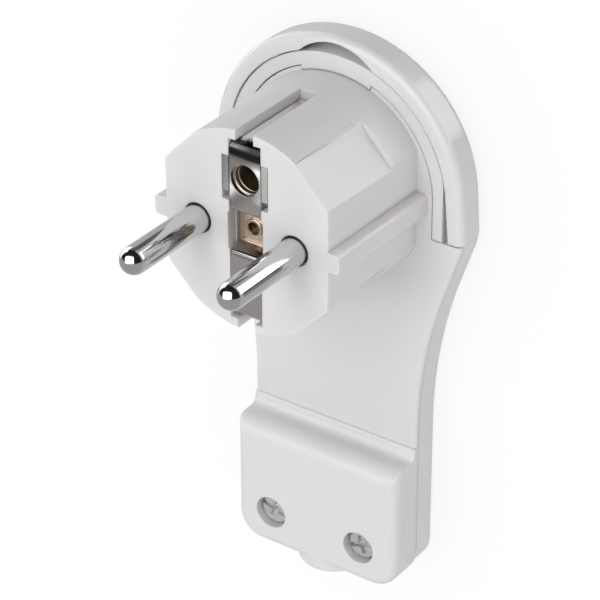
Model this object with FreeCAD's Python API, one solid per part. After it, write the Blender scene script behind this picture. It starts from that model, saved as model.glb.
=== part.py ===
"""Flat angled earthed plug with a pull ring, rewirable, in millimetres.

The plug lies on its flat back: X runs across it, +Y runs from the cable outlet to
the top of the pull ring, and +Z is the way the two contact pins point. The origin is
on the back face, under the midpoint between the pins.
"""
import FreeCAD, Part
import math
import os

os.makedirs("parts", exist_ok=True)

# Contact pins
pin_radius = 2.4
pin_reach = 19.0
pin_half_pitch = 9.5
pin_neck_radius = 2.1
pin_neck_proud = 0.05
pin_hole_gap = 0.3
pillar_radius = 3.6
pillar_inset = 16.0
wire_hole_radius = 1.6
wire_hole_inset = 11.0

# Drum that enters the socket
face_height = 32.0
drum_radius = 18.25
drum_side_cut = 2.35
drum_wall = 2.0
rib_inset = 0.15
rib_half_height = 1.75
rib_draft = 0.3
rib_rear_drop = 0.7
rib_rounding = 0.7
drum_edge_rounding = 0.3
facet_angle = 44.0
facet_half_angle = 13.6
facet_length = 18.3
facet_deepening = 0.5
facet_ramp_width = 1.9
sliver_width = 1.1
sliver_depth = 0.15
sliver_turn = 0.5

# Face slot and the groove on the drum's top and bottom
slot_half_width = 3.15
slot_end_inset = 1.9
window_half_width = 3.45
window_top = 3.1
window_bottom = -3.6
groove_half_width = 1.75
groove_length = 17.8
notch_half_width = 4.5
notch_below_hole = 4.35
notch_above_hole = 3.6

# Front plate
plate_height = 6.5
plate_margin = 0.75
plate_thickness = 2.0
seam_height = 5.45
seam_gap = 0.05
plate_edge_rounding = 0.8
plate_end = -49.0
tongue_length = 4.0
tongue_half_width = 13.0
tongue_thickness = 1.0

# Body outline from the shoulder down to the outlet
shoulder_y = -6.8
shoulder_inset = 0.05
shoulder_radius = 5.0
flank_angle = 18.8
waist_radius = 90.0
waist_half_width = 16.9
body_end = -76.0
body_corner_radius = 5.0
back_rounding = 1.3

# Back shell and the band round the drum
shell_floor = 2.0
shell_wall = 1.8
band_height = 6.6
band_width = 2.3
band_flat_cut = 0.4
band_gap = 0.2
band_end_gap = 0.25
tab_half_angle = 21.0
tab_thickness = 1.8
tab_gap = 0.15
cross_rib_places = (-20.0, -34.0)
cross_rib_thickness = 1.4
wire_channel_half_width = 6.0

# Clamp cover
cover_height = 12.7
cover_lip_height = 6.6
cover_lip_length = 2.4
cover_wall = 1.8
cover_lip_rounding = 0.5
cover_cove_radius = 1.5
cover_crown_radius = 3.0
cover_side_rounding = 2.0
cover_overhang = 0.5
cover_gap = 0.15

# Cable outlet
outlet_radius = 4.3
collar_radius = 6.35
collar_height = 6.4
collar_reach = 2.0
collar_inner_length = 3.6
collar_rounding = 0.9

# Pull ring and its hinge
ring_height = 6.8
ring_gap = 0.4
ring_width = 2.75
ring_front_rounding = 1.3
ring_back_rounding = 2.0
ring_lip_thickness = 0.8
ring_lip_gap = 0.25
ring_outer_flare = 4.1
ring_inner_flare = 5.0
foot_gap = 0.5
knuckle_radius = 3.2
hinge_peg_radius = 1.6
hinge_clearance = 0.05
hinge_peg_reach = 1.4
hinge_boss_radius = 2.5
hinge_side_gap = 0.3
scoop_radius = 10.0
scoop_depth = 1.7
scoop_floor = 2.5

# Earth strap, its socket sleeve and rivet
strap_thickness = 0.8
strap_sink = 0.05
strap_half_width = 3.05
strap_leg_half_width = 1.55
strap_leg_inset = 1.9
strap_end_gap = 0.2
strap_bend_radius = 2.2
strap_fold_radius = 0.9
strap_inner_radius = 0.3
strap_side_gap = 0.15
wing_low_gap = 1.55
wing_gap = 0.15
wing_relief_depth = 4.0
pocket_depth = 2.55
pocket_top = 3.4
pocket_bottom = -3.0
pocket_slope = 0.87
earth_hole_y = 9.6
earth_hole_radius = 2.75
sleeve_radius = 2.45
sleeve_thickness = 0.5
sleeve_length = 15.0
sleeve_slit = 1.0
sleeve_solid_length = 4.0
sleeve_mouth_length = 1.2
sleeve_mouth_wall = 0.22
eyelet_radius = 1.35
eyelet_wall = 0.22
eyelet_bore_depth = 1.2
eyelet_head_radius = 1.65
eyelet_head_thickness = 0.35

# Contact carrier inside the drum
carrier_gap = 0.25
carrier_front_gap = 0.1
carrier_rear_inset = 18.5
carrier_web = 2.4
running_gap = 0.1
terminal_block_half_width = 3.0
terminal_block_low = -8.0
terminal_block_high = -3.0
terminal_inset = 16.0

# Screws
terminal_screw_radius = 1.75
terminal_head_radius = 2.8
terminal_head_height = 2.0
terminal_screw_length = 6.0
small_screw_radius = 1.5
small_head_radius = 2.5
small_head_height = 1.8
carrier_screw_place = (8.5, 9.5)
carrier_screw_length = 7.0
carrier_boss_radius = 3.0
carrier_boss_length = 8.0
cover_screw_x = 9.4
cover_screw_y = -69.3
cover_screw_radius = 1.6
cover_head_radius = 2.85
cover_head_height = 1.9
cover_head_depth = 1.3
cover_screw_length = 7.5
cover_recess_radius = 3.1
cover_boss_radius = 4.3
boss_meet_height = 7.5
screw_recess_depth = 1.2
screw_recess_width = 0.85
thread_gap = 0.05
hole_gap = 0.2

# Cord clamp
clamp_y = -61.5
clamp_half_length = 11.8
clamp_half_width = 2.8
clamp_height = 6.9
clamp_thickness = 1.8
clamp_arch_radius = 4.0
clamp_arch_height = 5.2
clamp_arch_wall = 1.4
clamp_screw_x = 8.9
clamp_post_radius = 3.0
clamp_screw_length = 6.0

# A length that reaches past the whole plug, for open-ended cuts
past_all = 200.0

# Sizes that follow from the ones above
pin_tip_height = face_height + pin_reach
pin_neck_height = face_height + pin_neck_proud
pin_hole_radius = pin_radius + pin_hole_gap
pillar_rear = face_height - pillar_inset
wire_hole_height = face_height - wire_hole_inset
drum_flat_half_width = drum_radius - drum_side_cut
rib_reach = drum_radius - rib_inset
facet_rear_height = face_height - facet_length
slot_end = drum_radius - slot_end_inset
groove_rear_height = face_height - groove_length
notch_low = earth_hole_y - notch_below_hole
notch_high = earth_hole_y + notch_above_hole
plate_arch_radius = drum_radius + plate_margin
band_inner_radius = plate_arch_radius + band_gap
band_radius = band_inner_radius + band_width
band_flat_half_width = band_radius - band_flat_cut
ring_inner_radius = band_radius + ring_gap
ring_outer_radius = ring_inner_radius + ring_width
shoulder_half_width = ring_outer_radius - shoulder_inset
strap_front_height = face_height - strap_sink
strap_leg_y = drum_radius - strap_leg_inset
strap_leg_rear = groove_rear_height + strap_end_gap
strap_flat_end = strap_leg_y - strap_bend_radius
carrier_rear = face_height - carrier_rear_inset
terminal_block_rear = face_height - terminal_inset
drum_inner_radius = drum_radius - drum_wall
drum_inner_half_width = drum_flat_half_width - drum_wall
front_wall_height = face_height - drum_wall
plate_underside = plate_height - plate_thickness
inner_step = shell_wall + band_gap
foot_end = shoulder_y + foot_gap
hinge_y = foot_end + knuckle_radius
hinge_height = knuckle_radius
carrier_front = front_wall_height - carrier_front_gap
pocket_floor = strap_front_height - pocket_depth - strap_thickness
web_rear = pocket_floor - running_gap - carrier_web
cover_ceiling = cover_height - cover_wall
cover_top = plate_end - cover_gap
cover_step_y = cover_top - cover_lip_length
cover_seat = cover_height - cover_head_depth - cover_head_height
cover_end = body_end - cover_overhang


def vec(x, y, z):
    return FreeCAD.Vector(x, y, z)


def block(x0, x1, y0, y1, z0, z1):
    return Part.makeBox(x1 - x0, y1 - y0, z1 - z0, vec(x0, y0, z0))


def rod(radius, x, y, z0, z1):
    return Part.makeCylinder(radius, z1 - z0, vec(x, y, z0))


def rod_along_x(radius, x0, x1, y, z):
    return Part.makeCylinder(radius, x1 - x0, vec(x0, y, z), vec(1, 0, 0))


def rod_along_y(radius, y0, y1, x, z):
    return Part.makeCylinder(radius, y1 - y0, vec(x, y0, z), vec(0, 1, 0))


def fused(pieces):
    return pieces[0].multiFuse(pieces[1:]).removeSplitter()


def mirrored(shape):
    return shape.mirror(vec(0, 0, 0), vec(1, 0, 0))


def rounded_edges(points, radii, closed=True):
    """Straight edges through the points, with an arc of the given radius at each."""
    count = len(points)
    starts = []
    ends = []
    mids = []
    for i in range(count):
        here = points[i]
        if radii[i] <= 0:
            starts.append(here)
            ends.append(here)
            mids.append(None)
            continue
        back = (points[i - 1] - here).normalize()
        ahead = (points[(i + 1) % count] - here).normalize()
        half = back.getAngle(ahead) / 2
        cut = radii[i] / math.tan(half)
        middle = (back + ahead).normalize() * (radii[i] / math.sin(half) - radii[i])
        starts.append(here + back * cut)
        ends.append(here + ahead * cut)
        mids.append(here + middle)
    edges = []
    for i in range(count):
        if mids[i] is not None:
            edges.append(Part.Arc(starts[i], mids[i], ends[i]).toShape())
        last = i == count - 1
        if last and not closed:
            break
        if (starts[(i + 1) % count] - ends[i]).Length > 1e-6:
            edges.append(Part.LineSegment(ends[i], starts[(i + 1) % count]).toShape())
    return edges


def prism(edges, z0, z1):
    """A solid of the closed outline, from height z0 to z1."""
    wire = Part.Wire(Part.__sortEdges__(edges))
    wire.translate(vec(0, 0, z0))
    return Part.Face(wire).extrude(vec(0, 0, z1 - z0))


def body_outline(top, end, half_width_cut=0.0):
    """The shoulder, flank, waist and rounded lower corners, moved in by a margin."""
    margin = half_width_cut
    angle = math.radians(flank_angle)
    corner = shoulder_radius - margin
    waist = waist_radius + margin
    x_shoulder = shoulder_half_width - margin
    x_waist = waist_half_width - margin
    turn_x = x_shoulder - corner
    p0 = vec(x_shoulder, top, 0)
    p1 = vec(turn_x + corner * math.cos(angle / 2), top - corner * math.sin(angle / 2), 0)
    p2 = vec(turn_x + corner * math.cos(angle), top - corner * math.sin(angle), 0)
    x3 = x_waist + waist * (1 - math.cos(angle))
    p3 = vec(x3, p2.y - (p2.x - x3) / math.tan(angle), 0)
    waist_y = p3.y - waist * math.sin(angle)
    p4 = vec(x_waist + waist * (1 - math.cos(angle / 2)), waist_y + waist * math.sin(angle / 2), 0)
    p5 = vec(x_waist, waist_y, 0)
    foot = body_corner_radius - margin
    p6 = vec(x_waist, end + foot, 0)
    diagonal = foot * (1 - math.sqrt(0.5))
    p7 = vec(x_waist - diagonal, end + diagonal, 0)
    p8 = vec(x_waist - foot, end, 0)
    half = [Part.Arc(p0, p1, p2).toShape(), Part.LineSegment(p2, p3).toShape()]
    half.append(Part.Arc(p3, p4, p5).toShape())
    half.append(Part.LineSegment(p5, p6).toShape())
    half.append(Part.Arc(p6, p7, p8).toShape())
    other = [mirrored(edge) for edge in half]
    top_edge = Part.LineSegment(vec(-p0.x, top, 0), p0).toShape()
    end_edge = Part.LineSegment(p8, vec(-p8.x, end, 0)).toShape()
    return half + other + [top_edge, end_edge]


def arch_outline(radius, end, flare=0.0):
    """An arch whose straight sides run down to y = end, spread by the flare in degrees."""
    angle = math.radians(flare)
    side_x = radius * math.cos(angle)
    side_y = radius * math.sin(angle)
    foot_x = side_x + (side_y - end) * math.tan(angle)
    left = vec(-side_x, side_y, 0)
    right = vec(side_x, side_y, 0)
    low_left = vec(-foot_x, end, 0)
    low_right = vec(foot_x, end, 0)
    edges = [Part.Arc(right, vec(0, radius, 0), left).toShape()]
    edges.append(Part.LineSegment(left, low_left).toShape())
    edges.append(Part.LineSegment(low_left, low_right).toShape())
    edges.append(Part.LineSegment(low_right, right).toShape())
    return edges


def drum_section(radius, half_width, z0, z1):
    """The drum's round section with a flat on each side."""
    wide = block(-half_width, half_width, -radius - 1, radius + 1, z0, z1)
    return rod(radius, 0, 0, z0, z1).common(wide)


def edges_at_height(shape, height, keep):
    """Edges that lie wholly at one height and pass the test on their middle point."""
    found = []
    for edge in shape.Edges:
        box = edge.BoundBox
        flat = abs(box.ZMin - height) < 1e-6 and abs(box.ZMax - height) < 1e-6
        if flat and keep(edge.CenterOfMass):
            found.append(edge)
    return found


def make_pin(side):
    """Turned pin: a round-ended contact, a neck, and a thicker pillar with the wire's cross hole."""
    x = side * pin_half_pitch
    shank = rod(pin_radius, 0, 0, pin_neck_height, pin_tip_height - pin_radius)
    tip = Part.makeSphere(pin_radius, vec(0, 0, pin_tip_height - pin_radius))
    pillar = rod(pillar_radius, 0, 0, pillar_rear, carrier_front)
    rim = edges_at_height(pillar, pillar_rear, lambda point: True)
    neck = rod(pin_neck_radius, 0, 0, carrier_front, pin_neck_height)
    pin = fused([pillar.makeChamfer(0.4, rim), neck, shank, tip])
    past = pillar_radius + 1
    pin = pin.cut(rod_along_y(wire_hole_radius, -past, past, 0, wire_hole_height))
    screw_depth = terminal_screw_length + 1.0
    pin = pin.cut(rod(terminal_screw_radius + thread_gap, 0, 0, pillar_rear - 1, pillar_rear + screw_depth))
    pin.translate(vec(x, 0, 0))
    return pin


def make_screw(radius, length, head_radius, head_height, slotted):
    """A screw along Z with its seat at z = 0, the head above and the shank below."""
    head = rod(head_radius, 0, 0, 0, head_height)
    top = edges_at_height(head, head_height, lambda point: True)
    head = head.makeFillet(min(0.5, head_height / 3), top)
    shank = rod(radius, 0, 0, -length, 0)
    tip = edges_at_height(shank, -length, lambda point: True)
    shank = shank.makeChamfer(min(0.4, radius / 3), tip)
    screw = fused([head, shank])
    half = screw_recess_width / 2
    floor = head_height - screw_recess_depth
    reach = head_radius + 1 if slotted else head_radius * 0.62
    screw = screw.cut(block(-reach, reach, -half, half, floor, head_height + 1))
    arm = head_radius * 0.62
    return screw.cut(block(-half, half, -arm, arm, floor, head_height + 1))


def screw_pointing_down(x, y, seat, radius, length, head_radius, head_height, slotted=True, turn=0.0):
    screw = make_screw(radius, length, head_radius, head_height, slotted)
    screw.rotate(vec(0, 0, 0), vec(0, 0, 1), turn)
    screw.translate(vec(x, y, seat))
    return screw


def screw_pointing_up(x, y, seat, radius, length, head_radius, head_height):
    screw = make_screw(radius, length, head_radius, head_height, True)
    screw.rotate(vec(0, 0, 0), vec(0, 1, 0), 180)
    screw.translate(vec(x, y, seat))
    return screw


def slot_cutter(margin=0.0):
    """What the face slot, its wing notches and both side grooves take out of the drum."""
    low = -drum_radius - 1
    high = drum_radius + 1
    top = face_height + 1
    wall = front_wall_height - running_gap
    wide = slot_half_width - margin
    face = block(-wide, wide, -slot_end, slot_end, wall, top)
    notches = block(-notch_half_width, notch_half_width, notch_low, notch_high, wall, top)
    window = block(-window_half_width, window_half_width, window_bottom, window_top, wall, top)
    grooves = block(-groove_half_width, groove_half_width, low, high, groove_rear_height, top)
    keep = drum_section(drum_inner_radius - drum_wall, drum_inner_half_width, 0, wall)
    return fused([face, notches, window, grooves.cut(keep)])


def make_front_housing():
    """One moulding: hollow drum, pear-shaped plate and the tongue under the cover."""
    drum = drum_section(drum_radius, drum_flat_half_width, plate_underside, face_height)
    rim = edges_at_height(drum, face_height, lambda point: True)
    drum = drum.makeFillet(drum_edge_rounding, rim)
    rib_front = rib_half_height
    rib_rear = rib_half_height + rib_draft
    ribs = []
    for side in (1, -1):
        x0 = side * (drum_flat_half_width - 1)
        x1 = side * rib_reach
        front = [vec(x0, -rib_front, 0), vec(x1, -rib_front, 0), vec(x1, rib_front, 0), vec(x0, rib_front, 0)]
        rear = [vec(x0, -rib_rear, 0), vec(x1, -rib_rear, 0), vec(x1, rib_rear, 0), vec(x0, rib_rear, 0)]
        rear = [point - vec(0, rib_rear_drop, 0) for point in rear]
        radii = [0, rib_rounding, rib_rounding, 0]
        low = Part.Wire(Part.__sortEdges__(rounded_edges(rear, radii)))
        high = Part.Wire(Part.__sortEdges__(rounded_edges(front, radii)))
        low.translate(vec(0, 0, plate_underside))
        high.translate(vec(0, 0, face_height))
        ribs.append(Part.makeLoft([low, high], True, True))
    base = prism(arch_outline(plate_arch_radius, shoulder_y - 1), plate_underside, plate_height)
    below_shoulder = block(-past_all, past_all, plate_end, shoulder_y, 0, past_all)
    rim_plate = prism(body_outline(shoulder_y, body_end), seam_height + seam_gap, plate_height)
    far = edges_at_height(rim_plate, plate_height, lambda point: point.y < shoulder_y - 0.1)
    rim_thickness = plate_height - seam_height - seam_gap
    rim_plate = rim_plate.makeFillet(min(plate_edge_rounding, 0.9 * rim_thickness), far)
    inner_plate = prism(body_outline(shoulder_y - inner_step, body_end, inner_step), plate_underside, plate_height)
    plate = fused([rim_plate, inner_plate]).common(below_shoulder)
    tongue_top = seam_height
    tongue = block(-tongue_half_width, tongue_half_width, plate_end - tongue_length, plate_end + 1,
                   tongue_top - tongue_thickness, tongue_top)
    housing = fused([drum, base, plate, tongue] + ribs)
    cavity = drum_section(drum_inner_radius, drum_inner_half_width, plate_underside - 1, front_wall_height)
    housing = housing.cut(cavity).cut(slot_cutter())
    for side in (1, -1):
        x = side * pin_half_pitch
        housing = housing.cut(rod(pin_hole_radius, x, 0, front_wall_height - 1, face_height + 1))
    housing = housing.cut(facet_cutter()).cut(tab_notch())
    bosses = []
    for sign in (1, -1):
        x = sign * carrier_screw_place[0]
        y = sign * carrier_screw_place[1]
        boss = rod(carrier_boss_radius, x, y, front_wall_height - carrier_boss_length, front_wall_height + 0.5)
        hole = small_screw_radius + thread_gap
        bosses.append(boss.cut(rod(hole, x, y, 0, front_wall_height - 0.6)))
    return fused([housing] + bosses)


def facet_cutter():
    """Four shallow thumb facets that deepen toward the back, each with a ramp and a sliver above."""
    half = math.radians(facet_half_angle)
    front_u = drum_radius * math.cos(half)
    front_v = drum_radius * math.sin(half)
    rear_u = front_u - facet_deepening
    rear_v = front_v - facet_ramp_width
    out = drum_radius + 2
    low_v = -0.44 * drum_radius
    high_v = front_v + 2
    rise = 0.25 * (high_v - rear_v)
    front = [(front_u, low_v), (front_u, front_v), (front_u + 0.5, high_v), (out, high_v), (out, low_v)]
    rear = [(rear_u, low_v), (rear_u, rear_v), (rear_u + rise, high_v), (out, high_v), (out, low_v)]
    wires = []
    for corners, z in ((rear, facet_rear_height), (front, face_height + 0.01)):
        points = [vec(u, v, z) for u, v in corners]
        wires.append(Part.makePolygon(points + [points[0]]))
    facet = Part.makeLoft(wires, True, True)
    skim = drum_radius - sliver_depth
    tip = vec(skim, 0, face_height)
    low = vec(skim, -sliver_width / 2, facet_rear_height + 1.5)
    high = vec(skim, sliver_width / 2, facet_rear_height + 2)
    sliver = Part.Face(Part.makePolygon([tip, low, high, tip])).extrude(vec(2, 0, 0))
    sliver.rotate(vec(0, 0, 0), vec(0, 0, 1), facet_half_angle + sliver_turn)
    cutter = facet.fuse(sliver)
    cutter.rotate(vec(0, 0, 0), vec(0, 0, 1), facet_angle)
    right = cutter.fuse(cutter.mirror(vec(0, 0, 0), vec(0, 1, 0)))
    return right.fuse(mirrored(right))


def sector(radius, half_angle, z0, z1):
    """A wedge of a disc about +Y, as wide as twice the half angle."""
    piece = Part.makeCylinder(radius, z1 - z0, vec(0, 0, z0), vec(0, 0, 1), 2 * half_angle)
    piece.rotate(vec(0, 0, 0), vec(0, 0, 1), 90 - half_angle)
    return piece


def tab_notch():
    """Room for the back shell's tab, between the drum and the edge of the plate's arch."""
    margin = math.degrees(band_gap / plate_arch_radius)
    wedge = sector(plate_arch_radius + 1, tab_half_angle + margin, 0, plate_height + 1)
    return wedge.cut(rod(drum_radius, 0, 0, -1, plate_height + 2))


def make_back_shell():
    """Dish with a raised band round the drum, screw bosses, wire ribs and half the cable collar."""
    lower = prism(body_outline(shoulder_y, body_end), 0, seam_height)
    lower = lower.makeFillet(back_rounding, edges_at_height(lower, 0, lambda point: point.y < shoulder_y - 0.1))
    band = prism(arch_outline(band_radius, shoulder_y - 2), 0, band_height)
    flat = band_flat_half_width
    band = band.common(block(-flat, flat, shoulder_y + band_end_gap, past_all, -1, past_all))
    neck = prism(arch_outline(flat, shoulder_y - 2), 0, seam_height)
    neck = neck.common(block(-flat, flat, shoulder_y - 2, 0, 0, past_all))
    shell = fused([lower, band, neck])
    bowl = prism(arch_outline(band_inner_radius, shoulder_y - shell_wall - 3), shell_floor, past_all)
    pan = prism(body_outline(shoulder_y - shell_wall, body_end + shell_wall, shell_wall), shell_floor, past_all)
    shell = shell.cut(bowl).cut(pan)
    tab_radius = drum_radius + tab_gap
    tab = sector(band_inner_radius + 0.5, tab_half_angle, band_height - tab_thickness, band_height)
    tab = tab.cut(rod(tab_radius, 0, 0, 0, past_all))
    pieces = [shell, tab]
    rib_top = plate_underside - seam_gap
    inside = prism(body_outline(shoulder_y, body_end, shell_wall - 0.3), 0, past_all)
    channel = wire_channel_half_width
    for y in cross_rib_places:
        y0 = y - cross_rib_thickness / 2
        y1 = y + cross_rib_thickness / 2
        wall = block(-past_all, past_all, y0, y1, shell_floor - 0.5, rib_top).common(inside)
        wall = wall.cut(block(-channel, channel, y0 - 1, y1 + 1, 0, past_all))
        pieces += wall.Solids
    for side in (1, -1):
        x = side * cover_screw_x
        pieces.append(rod(cover_boss_radius - 0.3, x, cover_screw_y, shell_floor - 0.5, boss_meet_height - seam_gap))
        pieces.append(rod(clamp_post_radius, side * clamp_screw_x, clamp_y, shell_floor - 0.5, clamp_height))
    pieces.append(cable_collar().common(block(-past_all, past_all, -past_all, 0, 0, seam_height)))
    shell = fused(pieces)
    shell = shell.cut(outlet_bore())
    hole = cover_screw_radius + thread_gap
    post_hole = small_screw_radius + thread_gap
    bore = hinge_peg_radius + hinge_clearance
    for side in (1, -1):
        shell = shell.cut(rod(hole, side * cover_screw_x, cover_screw_y, shell_floor - 0.8, past_all))
        shell = shell.cut(rod(post_hole, side * clamp_screw_x, clamp_y, shell_floor - 0.8, past_all))
        x0 = min(side * (band_inner_radius - 1), side * (band_radius + 1))
        x1 = max(side * (band_inner_radius - 1), side * (band_radius + 1))
        shell = shell.cut(rod_along_x(bore, x0, x1, hinge_y, hinge_height))
    return shell


def cable_collar():
    """The round collar the cable leaves through, with a softened end."""
    end = body_end - collar_reach
    collar = rod_along_y(collar_radius, end, body_end + collar_inner_length, 0, collar_height)
    far = [edge for edge in collar.Edges if edge.BoundBox.YMax < end + 0.01]
    return collar.makeFillet(collar_rounding, far)


def outlet_bore():
    start = body_end - collar_reach - 1
    return rod_along_y(outlet_radius, start, body_end + collar_inner_length + 1, 0, collar_height)


def rounded_box(x, y0, y1, radius_low, radius_high, z0, z1):
    """A prism centred on X with one radius at its lower corners and one at its upper ones."""
    corners = [vec(-x, y0, 0), vec(x, y0, 0), vec(x, y1, 0), vec(-x, y1, 0)]
    return prism(rounded_edges(corners, [radius_low, radius_low, radius_high, radius_high]), z0, z1)


def cover_side_profile(low):
    """The cover seen from the side: bead at its top end, hollow foot, wall and soft crown."""
    lip = cover_lip_height
    points = [vec(0, cover_end - 1, low), vec(0, cover_top, low), vec(0, cover_top, lip)]
    points += [vec(0, cover_step_y, lip), vec(0, cover_step_y, cover_height)]
    points += [vec(0, cover_end - 1, cover_height)]
    radii = [0, 0, cover_lip_rounding, cover_cove_radius, cover_crown_radius, 0]
    return Part.Face(Part.Wire(Part.__sortEdges__(rounded_edges(points, radii))))


def make_clamp_cover():
    """Bulging lower cover, hollow, with two counterbored screw bosses and half the collar."""
    low = seam_height + seam_gap
    wide = waist_half_width
    side_profile = cover_side_profile(low)
    side_profile.translate(vec(-wide - 1, 0, 0))
    swept = side_profile.extrude(vec(2 * wide + 2, 0, 0))
    hull = rounded_box(wide, cover_end, cover_top, body_corner_radius, 0, low, cover_height)
    long_edges = edges_at_height(hull, cover_height, lambda point: point.y < cover_top - 0.1)
    cover = swept.common(hull.makeFillet(cover_side_rounding, long_edges))
    room_top = cover_step_y - cover_wall
    room = body_outline(shoulder_y, cover_end + cover_wall, cover_wall)
    open_end = block(-past_all, past_all, -past_all, room_top, 0, past_all)
    cover = cover.cut(prism(room, 0, cover_ceiling).common(open_end))
    pieces = [cover]
    for side in (1, -1):
        x = side * cover_screw_x
        pieces.append(rod(cover_boss_radius, x, cover_screw_y, boss_meet_height, cover_ceiling + 0.5))
    pieces.append(cable_collar().common(block(-past_all, past_all, -past_all, 0, low, past_all)))
    cover = fused(pieces)
    cover = cover.cut(outlet_bore())
    tongue_room = block(-tongue_half_width - hole_gap, tongue_half_width + hole_gap,
                        plate_end - tongue_length - hole_gap, 0, 0, seam_height + running_gap)
    cover = cover.cut(tongue_room)
    for side in (1, -1):
        x = side * cover_screw_x
        cover = cover.cut(rod(cover_screw_radius + hole_gap, x, cover_screw_y, 0, past_all))
        cover = cover.cut(rod(cover_recess_radius, x, cover_screw_y, cover_seat, past_all))
    return cover


def make_pull_ring():
    """Half ring with flared feet, a thin front lip, a finger scoop and two hinge pegs."""
    ring = prism(arch_outline(ring_outer_radius, foot_end, ring_outer_flare), 0, ring_height)
    outer_front = edges_at_height(ring, ring_height, lambda point: point.y > foot_end + 0.1)
    ring = ring.makeFillet(ring_front_rounding, outer_front)
    outer_back = edges_at_height(ring, 0, lambda point: point.y > foot_end + 0.1)
    ring = ring.makeFillet(ring_back_rounding, outer_back)
    lip_rear = ring_height - ring_lip_thickness
    inside = prism(arch_outline(ring_inner_radius, foot_end - 1, ring_inner_flare), -1, lip_rear)
    lip_radius = band_radius + ring_lip_gap
    mouth = prism(arch_outline(lip_radius, foot_end - 1, ring_inner_flare), lip_rear - 1, ring_height + 1)
    ring = ring.cut(inside).cut(mouth)
    scoop_y = ring_inner_radius + scoop_depth - scoop_radius
    ring = ring.cut(rod(scoop_radius, 0, scoop_y, scoop_floor, ring_height + 1))
    below_axis = block(-past_all, past_all, foot_end - 1, hinge_y, -1, hinge_height)
    knuckle = rod_along_x(knuckle_radius, -past_all, past_all, hinge_y, hinge_height)
    ring = ring.cut(below_axis.cut(knuckle))
    pieces = [ring]
    inside_ring = ring_inner_radius + 1
    for side in (1, -1):
        for radius, start in ((hinge_peg_radius, band_flat_half_width - hinge_peg_reach),
                              (hinge_boss_radius, band_flat_half_width + hinge_side_gap)):
            x0 = min(side * start, side * inside_ring)
            x1 = max(side * start, side * inside_ring)
            pieces.append(rod_along_x(radius, x0, x1, hinge_y, hinge_height))
    return fused(pieces)


def strap_path():
    """Front line of the bent strap from the end of the top leg to the end of the bottom leg."""
    front = strap_front_height
    floor = front - pocket_depth
    leg = strap_leg_y
    points = [vec(0, leg, strap_leg_rear), vec(0, leg, front), vec(0, pocket_top, front)]
    points += [vec(0, pocket_top, floor), vec(0, pocket_bottom, floor)]
    points += [vec(0, pocket_bottom - pocket_slope, front), vec(0, -leg, front), vec(0, -leg, strap_leg_rear)]
    bend = strap_bend_radius
    fold = strap_fold_radius
    inner = strap_inner_radius
    return points, [0, bend, fold, inner, inner, fold, bend, 0]


def make_earth_strap():
    """Stamped and bent strip: two legs in the grooves, a joggled pocket and the earth hole."""
    points, radii = strap_path()
    line = Part.Wire(rounded_edges(points, radii, closed=False))
    other_points = offset_points(points, strap_thickness)
    other_radii = [0 if r == 0 else swapped_radius(r) for r in radii]
    back_line = Part.Wire(rounded_edges(other_points, other_radii, closed=False))
    caps = [Part.LineSegment(points[0], other_points[0]).toShape()]
    caps.append(Part.LineSegment(points[-1], other_points[-1]).toShape())
    outline = Part.Wire(Part.__sortEdges__(line.Edges + back_line.Edges + caps))
    outline.translate(vec(-strap_half_width, 0, 0))
    strap = Part.Face(outline).extrude(vec(2 * strap_half_width, 0, 0))
    narrow_top = strap_front_height - strap_bend_radius / 2
    slim = strap_leg_half_width
    beside_legs = block(-past_all, past_all, -past_all, past_all, 0, narrow_top)
    beside_legs = beside_legs.cut(block(-past_all, past_all, -strap_flat_end, strap_flat_end, 0, narrow_top))
    beside_legs = beside_legs.cut(block(-slim, slim, -past_all, past_all, 0, narrow_top))
    strap = strap.cut(beside_legs)
    back = strap_front_height - strap_thickness
    strap = strap.cut(rod(earth_hole_radius, 0, earth_hole_y, back - 1, strap_front_height + 1))
    return strap.cut(rod(eyelet_radius + thread_gap, 0, 0, pocket_floor - 1, strap_front_height))


def swapped_radius(radius):
    """The bend's radius on the strip's other side."""
    if radius == strap_inner_radius:
        return strap_inner_radius + strap_thickness
    return max(radius - strap_thickness, 0.05)


def offset_points(points, distance):
    """The corner points of a line in the YZ plane, moved to its left by a distance."""
    moved = []
    count = len(points)
    for i in range(count):
        normals = []
        if i > 0:
            normals.append(left_normal(points[i - 1], points[i]))
        if i < count - 1:
            normals.append(left_normal(points[i], points[i + 1]))
        total = normals[0] + normals[-1]
        scale = 2 * distance / (total.Length * total.Length)
        moved.append(points[i] + total * scale)
    return moved


def left_normal(start, end):
    along = (end - start).normalize()
    return vec(0, -along.z, along.y)


def make_earth_socket():
    """Rolled sleeve behind the earth hole, slit from its rear end into two springs."""
    front = strap_front_height - strap_thickness - 0.05
    rear = front - sleeve_length
    outer = rod(sleeve_radius + sleeve_thickness, 0, earth_hole_y, rear, front)
    sleeve = outer.cut(rod(sleeve_radius, 0, earth_hole_y, rear - 1, front + 1))
    wide_mouth = sleeve_radius + sleeve_thickness - sleeve_mouth_wall
    foot = vec(0, earth_hole_y, front - sleeve_mouth_length)
    sleeve = sleeve.cut(Part.makeCone(sleeve_radius, wide_mouth, sleeve_mouth_length, foot))
    wide = 2 * sleeve_radius
    half = sleeve_slit / 2
    slit = block(-half, half, earth_hole_y - wide, earth_hole_y + wide, rear - 1, front - sleeve_solid_length)
    return sleeve.cut(slit)


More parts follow.
